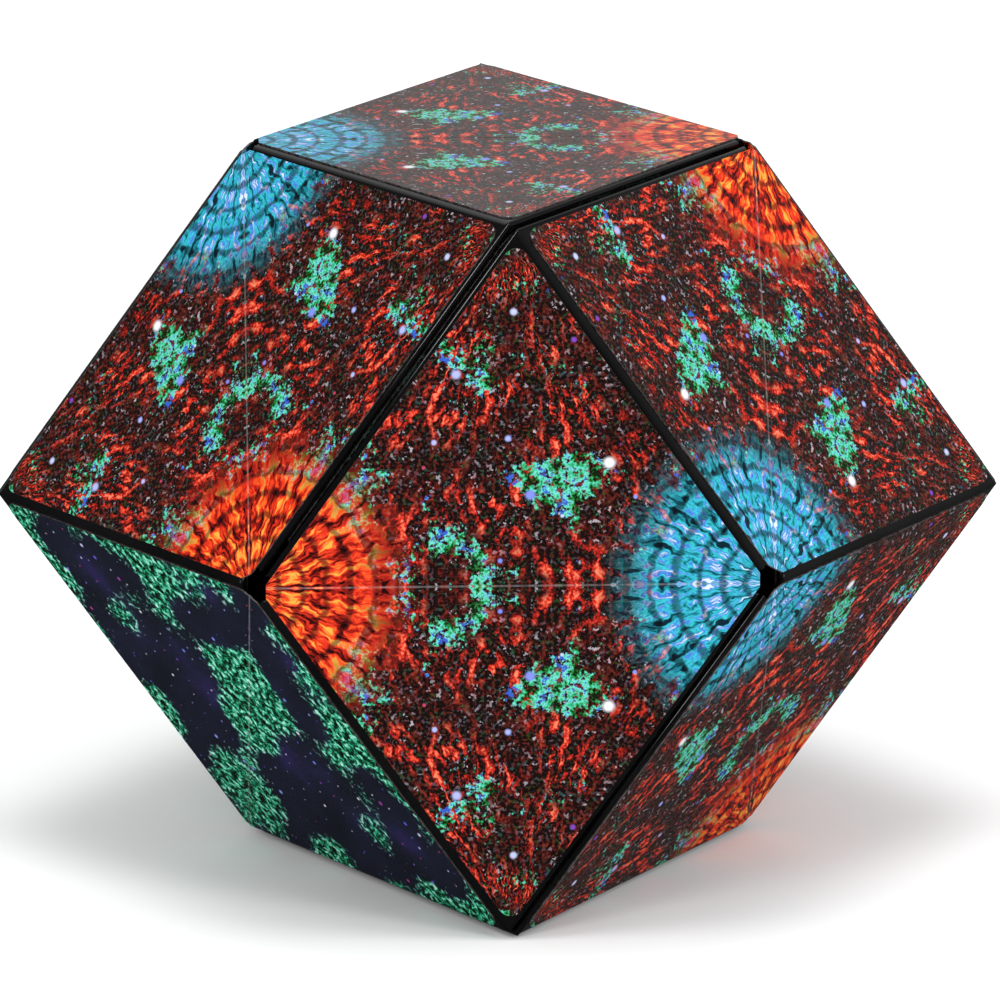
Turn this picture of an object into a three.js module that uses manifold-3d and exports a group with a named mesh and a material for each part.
// Magnetic folding-ring puzzle, closed into its rhombic dodecahedron.
//
// Twelve alike hollow segments stand on the inside faces of a cube-shaped void, two to a face. Each is
// a half pyramid with a right-angled base. Printed film sheets join them into one closed ring: every
// sheet covers one rhombic outer face, is glued to the two segments that share that face, and bends
// along the short diagonal between them, which is an edge of the void. Flat disc magnets behind the
// segments' faces hold the ring in shape.
//
// Units are millimetres and +Z is up. The origin is the centre of the rhombic face that it rests on.
import * as THREE from 'three';
import Module from 'manifold-3d';
import { ConvexGeometry } from 'three/addons/geometries/ConvexGeometry.js';
import { mergeVertices } from 'three/addons/utils/BufferGeometryUtils.js';

// Driving dimensions
const EDGE = 57; // an edge of the void, which is the length of every hinge line
const WALL = 1.4; // moulded wall of a segment
const SEAM_GAP = 0.25; // how far a cut face or a base stays inside its nominal plane
const CREASE = 0.9; // bare film across a hinge line, between the two segments' ends
const FILM = 0.3; // laminated printed film
const FILM_GAP = 0.2; // glue line under the film
const FILM_CLEARANCE = 0.12; // slit between the film's edge and the lip around it
const MOULDED_EDGE_BEVEL = 0.55; // half width of the bevel on a segment's own outer edge
const SEAM_EDGE_BEVEL = 1.0; // width of the bevel on an edge that meets another segment
const MOULDED_EDGE_INSET = 0.8; // from a segment's own outer edge to the film
const SEAM_EDGE_INSET = 1.25; // from an edge that meets another segment to the film
const TIP_RADIUS = 1.5; // round of the film at a rhombus's sharp corners
const FILM_END = 1.8; // from a hinge line's end to the film
const TIP_FLAT = 0.5; // how much of a segment's apex is blunted away
const HOLE_AT_CREASE = 1.45; // corner hole, from its axis to its flats at the three hinge lines
const HOLE_AT_SEAM = 1.7; // and to its flats at the three seams
const LID = 1.4; // thickness of the plate that closes a segment's base
const LID_GAP = 0.3; // slit between a lid and its segment
const MAGNET_RADIUS = 4;
const MAGNET_THICKNESS = 2;
const MAGNET_GAP = 0.3; // between a magnet and its pocket
const POCKET_WALL = 1.1; // ring around a magnet's pocket
const POCKET_DEPTH = 2.7; // from the wall's inside to the rim of that ring

// Worked out from those
const HALF = EDGE / 2;
const RECESS = FILM + FILM_GAP;
const POCKET_RADIUS = MAGNET_RADIUS + MAGNET_GAP;
const BEVEL_SLOPE = Math.tan(Math.PI / 6); // both bevels fall away at 30 degrees from their faces
const PAST = 2; // how far a cutting solid runs past what it cuts
const ROUND_SIDES = 16;

// Materials
const shellMaterial = new THREE.MeshStandardMaterial({ color: 0x0c0c0e, roughness: 0.28, metalness: 0 });
const lidMaterial = new THREE.MeshStandardMaterial({ color: 0x121214, roughness: 0.4, metalness: 0 });
const filmMaterial = new THREE.MeshStandardMaterial({ color: 0x6b2a22, roughness: 0.15, metalness: 0 });
const magnetMaterial = new THREE.MeshStandardMaterial({ color: 0xb9bcc0, roughness: 0.3, metalness: 1 });

// Solids
const wasm = await Module();
wasm.setup();

/** A closed geometry as a solid that can be joined and cut. */
function toSolid(geometry) {
  const bare = geometry.clone();
  bare.deleteAttribute('normal');
  bare.deleteAttribute('uv');
  const merged = mergeVertices(bare, 1e-4);
  return new wasm.Manifold(new wasm.Mesh({
    numProp: 3,
    vertProperties: new Float32Array(merged.attributes.position.array),
    triVerts: new Uint32Array(merged.index.array),
  }));
}

/** A solid as a geometry. */
function toGeometry(solid) {
  const mesh = solid.getMesh();
  const geometry = new THREE.BufferGeometry();
  geometry.setAttribute('position', new THREE.BufferAttribute(mesh.vertProperties, 3));
  geometry.setIndex(new THREE.BufferAttribute(mesh.triVerts, 1));
  geometry.computeVertexNormals();
  return geometry;
}

/** The plane through a point with its normal along a direction, which need not be a unit vector. */
function plane(direction, point) {
  return new THREE.Plane().setFromNormalAndCoplanarPoint(direction.clone().normalize(), point);
}

/** A plane moved against its normal by a distance. */
function inset(original, distance) {
  return new THREE.Plane(original.normal.clone(), original.constant + distance);
}

/** A plane that keeps the other side. */
function flipped(original) {
  return original.clone().negate();
}

/** A plane with x and y swapped, because a segment is alike on both sides of x = y. */
function swapped(original) {
  const { x, y, z } = original.normal;
  return new THREE.Plane(new THREE.Vector3(y, x, z), original.constant);
}

/** The convex geometry behind all of the given planes. */
function behind(planes) {
  const corners = [];
  for (let i = 0; i < planes.length; i += 1) {
    for (let j = 0; j < i; j += 1) {
      for (let k = 0; k < j; k += 1) {
        const [a, b, c] = [planes[i], planes[j], planes[k]];
        const rows = new THREE.Matrix3().set(
          a.normal.x, a.normal.y, a.normal.z,
          b.normal.x, b.normal.y, b.normal.z,
          c.normal.x, c.normal.y, c.normal.z,
        );
        if (Math.abs(rows.determinant()) < 1e-6) continue;
        const corner = new THREE.Vector3(-a.constant, -b.constant, -c.constant);
        corner.applyMatrix3(rows.invert());
        const inside = planes.every((p) => p.distanceToPoint(corner) < 1e-6);
        const known = corners.some((p) => p.distanceTo(corner) < 1e-4);
        if (inside && !known) corners.push(corner);
      }
    }
  }
  return new ConvexGeometry(corners);
}

/** A round solid whose foot is at a point and which runs along a direction. */
function roundSolid(radius, foot, direction, length) {
  const geometry = new THREE.CylinderGeometry(radius, radius, length, ROUND_SIDES);
  geometry.translate(0, length / 2, 0);
  geometry.applyQuaternion(new THREE.Quaternion().setFromUnitVectors(new THREE.Vector3(0, 1, 0), direction));
  geometry.translate(foot.x, foot.y, foot.z);
  return geometry;
}

// One segment, with its right-angled corner at the origin and its base on z = 0
const corner = new THREE.Vector3(0, 0, 0);
const endX = new THREE.Vector3(EDGE, 0, 0);
const endY = new THREE.Vector3(0, EDGE, 0);
const apex = new THREE.Vector3(HALF, HALF, HALF);
const voidCentre = new THREE.Vector3(HALF, HALF, -HALF);

const base = plane(new THREE.Vector3(0, 0, -1), corner);
const cutFace = plane(new THREE.Vector3(1, 1, 0), endX);
const outerFace = plane(new THREE.Vector3(0, -1, 1), corner);
const hingeEnd = plane(new THREE.Vector3(0, -1, 0), corner);
const mouldedBevel = inset(plane(new THREE.Vector3(-1, -1, 2), corner), MOULDED_EDGE_BEVEL * BEVEL_SLOPE);
const seamBevel = inset(plane(new THREE.Vector3(1, -1, 2), endX), SEAM_EDGE_BEVEL * BEVEL_SLOPE);
const tip = plane(new THREE.Vector3(0, 0, 1), new THREE.Vector3(0, 0, HALF - TIP_FLAT));

// In the plane of the outer face that stands on the X side, square to its two long edges
const fromMouldedEdge = plane(new THREE.Vector3(-2, 1, 1), corner);
const fromSeamEdge = plane(new THREE.Vector3(2, 1, 1), endX);
const fromHingeLine = plane(new THREE.Vector3(0, -1, -1), corner);

/** The blank that a segment's shell is cut from. */
function blank() {
  return toSolid(behind([
    inset(base, SEAM_GAP),
    inset(cutFace, SEAM_GAP),
    outerFace,
    swapped(outerFace),
    inset(hingeEnd, CREASE / 2 / Math.SQRT2),
    inset(swapped(hingeEnd), CREASE / 2 / Math.SQRT2),
    mouldedBevel,
    seamBevel,
    swapped(seamBevel),
    tip,
  ]));
}

/** The shallow seats that the two film sheets are glued into. */
function filmSeats() {
  const seat = [
    inset(outerFace, -PAST),
    inset(flipped(outerFace), -RECESS),
    inset(fromMouldedEdge, MOULDED_EDGE_INSET - FILM_CLEARANCE),
    inset(fromSeamEdge, SEAM_EDGE_INSET - FILM_CLEARANCE),
    inset(fromHingeLine, -PAST),
  ];
  return toSolid(behind(seat)).add(toSolid(behind(seat.map(swapped))));
}

/** The planes of a segment's hollow, drawn in by a gap. */
function hollowPlanes(gap) {
  return [
    inset(cutFace, SEAM_GAP + WALL + gap),
    inset(outerFace, RECESS + WALL + gap),
    inset(swapped(outerFace), RECESS + WALL + gap),
  ];
}

/** The hollow, which is open through the base. */
function hollow() {
  return toSolid(behind([...hollowPlanes(0), inset(base, -PAST)]));
}

/** Half of the hexagonal hole at one end of a hinge line, which runs towards the centre of the void. */
function cornerHole(point) {
  const inwards = voidCentre.clone().sub(point).normalize();
  const outline = new THREE.Shape();
  const reach = { crease: HOLE_AT_CREASE, seam: HOLE_AT_SEAM };
  for (let i = 0; i < 6; i += 1) {
    const [here, next] = i % 2 ? [reach.seam, reach.crease] : [reach.crease, reach.seam];
    const flat = i * Math.PI / 3;
    const along = (next - here * Math.cos(Math.PI / 3)) / Math.sin(Math.PI / 3);
    const x = here * Math.cos(flat) - along * Math.sin(flat);
    const y = here * Math.sin(flat) + along * Math.cos(flat);
    if (i === 0) outline.moveTo(x, y);
    else outline.lineTo(x, y);
  }
  outline.closePath();
  const prism = new THREE.ExtrudeGeometry(outline, { depth: 8, bevelEnabled: false });
  prism.translate(0, 0, -4);
  const alongHinge = new THREE.Vector3(Math.sign(HALF - point.x), 0, 0);
  const across = inwards.clone().cross(alongHinge).normalize();
  const flatwards = across.clone().cross(inwards);
  prism.applyMatrix4(new THREE.Matrix4().makeBasis(flatwards, across, inwards));
  prism.translate(point.x, point.y, point.z);
  return toSolid(prism);
}

/** The middles of the three faces that have a magnet behind them, with each wall's thickness there. */
const magnetSeats = [
  { side: 'left', middle: new THREE.Vector3(HALF, EDGE / 6, EDGE / 6), face: outerFace, wall: RECESS + WALL },
  { side: 'right', middle: new THREE.Vector3(EDGE / 6, HALF, EDGE / 6), face: swapped(outerFace), wall: RECESS + WALL },
  { side: 'seam', middle: new THREE.Vector3(HALF, HALF, EDGE / 6), face: cutFace, wall: SEAM_GAP + WALL },
];

/** A round solid behind a face's middle, from one depth under the face to another. */
function behindMiddle({ middle, face }, radius, from, to) {
  const inwards = face.normal.clone().negate();
  return roundSolid(radius, middle.clone().addScaledVector(inwards, from), inwards, to - from);
}

/** The moulded shell: blank, less its seats and hollow, with three magnet pockets. */
function makeShell() {
  let shell = blank().subtract(filmSeats()).subtract(hollow());
  for (const seat of magnetSeats) {
    const rim = seat.wall + POCKET_DEPTH;
    shell = shell.add(toSolid(behindMiddle(seat, POCKET_RADIUS + POCKET_WALL, seat.wall - WALL / 2, rim)));
    shell = shell.subtract(toSolid(behindMiddle(seat, POCKET_RADIUS, seat.wall, rim + PAST)));
  }
  for (const point of [corner, endX, endY]) shell = shell.subtract(cornerHole(point));
  return toGeometry(shell);
}

/** The plate that closes the base, wedged between the hollow's sloping walls. */
function makeLid() {
  const lid = behind([...hollowPlanes(LID_GAP), inset(base, SEAM_GAP), inset(flipped(base), -SEAM_GAP - LID)]);
  return toGeometry(toSolid(lid));
}

/** A disc magnet in the pocket behind one face. */
function makeMagnet(seat) {
  const near = seat.wall + MAGNET_GAP;
  return behindMiddle(seat, MAGNET_RADIUS, near, near + MAGNET_THICKNESS);
}

/**
 * A film sheet over one rhombic face, with the hinge line on X. The sheet stays further from a seam
 * than from a moulded edge; mouldedAt gives, for the +Y and the -Y half, the end of X with the latter.
 */
function makeFilm(mouldedAt) {
  const endReach = HALF - FILM_END;
  const slope = Math.atan2(1, Math.SQRT2);
  const outline = new THREE.Shape();
  for (const half of [1, -1]) {
    // each long edge lies on SQRT2 * |x| + |y| = SQRT2 * HALF, less its inset
    const ends = [half, -half];
    const insets = ends.map((end) => (end === mouldedAt[half] ? MOULDED_EDGE_INSET : SEAM_EDGE_INSET));
    const reaches = insets.map((value) => Math.SQRT2 * HALF - Math.sqrt(3) * value);
    const tipX = half * (reaches[0] - reaches[1]) / (2 * Math.SQRT2);
    const tipY = half * ((reaches[0] + reaches[1]) / 2 - Math.sqrt(3) * TIP_RADIUS);
    const start = half > 0 ? 0 : Math.PI;
    const first = [ends[0] * endReach, half * (reaches[0] - Math.SQRT2 * endReach)];
    if (half > 0) outline.moveTo(...first);
    else outline.lineTo(...first);
    outline.absarc(tipX, tipY, TIP_RADIUS, start + slope, start + Math.PI - slope, false);
    outline.lineTo(ends[1] * endReach, half * (reaches[1] - Math.SQRT2 * endReach));
  }
  outline.closePath();
  const sheet = new THREE.ExtrudeGeometry(outline, { depth: FILM, bevelEnabled: false, curveSegments: 4 });
  sheet.translate(0, 0, -FILM);
  return toGeometry(toSolid(sheet));
}

// The ring, in the frame of the cube-shaped void: X to the right, Y to the upper front, Z to the lower
// front. Each segment has its right-angled corner at one corner of the void, given by its signs, and
// its base on the face of the void that is square to one axis there.
const RING = [
  { square: 1, signs: [-1, 1, -1] },
  { square: 0, signs: [-1, 1, 1] },
  { square: 2, signs: [-1, 1, 1] },
  { square: 1, signs: [1, 1, 1] },
  { square: 0, signs: [1, 1, 1] },
  { square: 2, signs: [1, -1, 1] },
  { square: 1, signs: [1, -1, 1] },
  { square: 0, signs: [1, -1, -1] },
  { square: 2, signs: [1, -1, -1] },
  { square: 1, signs: [-1, -1, -1] },
  { square: 0, signs: [-1, -1, -1] },
  { square: 2, signs: [-1, 1, -1] },
];

/** A unit vector along one axis of the void. */
function axisVector(axis, sign) {
  return new THREE.Vector3().setComponent(axis, sign);
}

/** Where a segment stands: the basis that turns it and the place of its right-angled corner. */
function segmentFrame({ square, signs }) {
  const up = axisVector(square, signs[square]);
  const [p, q] = [0, 1, 2].filter((axis) => axis !== square);
  const edges = [axisVector(p, -signs[p]), axisVector(q, -signs[q])];
  if (edges[0].clone().cross(edges[1]).dot(up) < 0) edges.reverse();
  return {
    turn: new THREE.Matrix4().makeBasis(edges[0], edges[1], up),
    place: new THREE.Vector3(...signs).multiplyScalar(HALF),
    edges,
    up,
  };
}

/** Where the film between two neighbouring segments lies, and which of its edges are moulded ones. */
function filmFrame(before, after) {
  const [one, other] = [segmentFrame(before), segmentFrame(after)];
  const along = one.up.clone().cross(other.up);
  const outwards = one.up.clone().add(other.up).normalize();
  const across = outwards.clone().cross(along);
  const middle = one.up.clone().add(other.up).multiplyScalar(HALF);
  const afterHalf = Math.sign(other.up.dot(across));
  return {
    turn: new THREE.Matrix4().makeBasis(along, across, outwards),
    place: middle,
    mouldedAt: {
      [afterHalf]: Math.sign(other.place.dot(along)),
      [-afterHalf]: Math.sign(one.place.dot(along)),
    },
  };
}

/** Adds a named mesh to a group. */
function addPiece(group, name, geometry, material) {
  const piece = new THREE.Mesh(geometry, material);
  piece.name = name;
  group.add(piece);
}

const shellGeometry = makeShell();
const lidGeometry = makeLid();
const glued = magnetSeats.filter(({ side }) => side !== 'seam');

// The void's frame leans so that one rhombic face is level underneath and one is upright in front
const ring = new THREE.Group();
ring.rotation.x = 3 * Math.PI / 4;
ring.position.z = Math.SQRT2 * HALF;

RING.forEach((placing, index) => {
  const number = String(index + 1).padStart(2, '0');
  const { turn, place } = segmentFrame(placing);
  const segment = new THREE.Group();
  segment.setRotationFromMatrix(turn);
  segment.position.copy(place);
  addPiece(segment, `segment_${number}_shell`, shellGeometry, shellMaterial);
  addPiece(segment, `segment_${number}_lid`, lidGeometry, lidMaterial);
  for (const seat of glued) {
    addPiece(segment, `segment_${number}_magnet_${seat.side}`, makeMagnet(seat), magnetMaterial);
  }
  ring.add(segment);

  const film = filmFrame(RING[(index + RING.length - 1) % RING.length], placing);
  const sheet = new THREE.Group();
  sheet.setRotationFromMatrix(film.turn);
  sheet.position.copy(film.place);
  addPiece(sheet, `hinge_film_${number}`, makeFilm(film.mouldedAt), filmMaterial);
  ring.add(sheet);
});

const puzzle = new THREE.Group();
puzzle.add(ring);

export default puzzle;
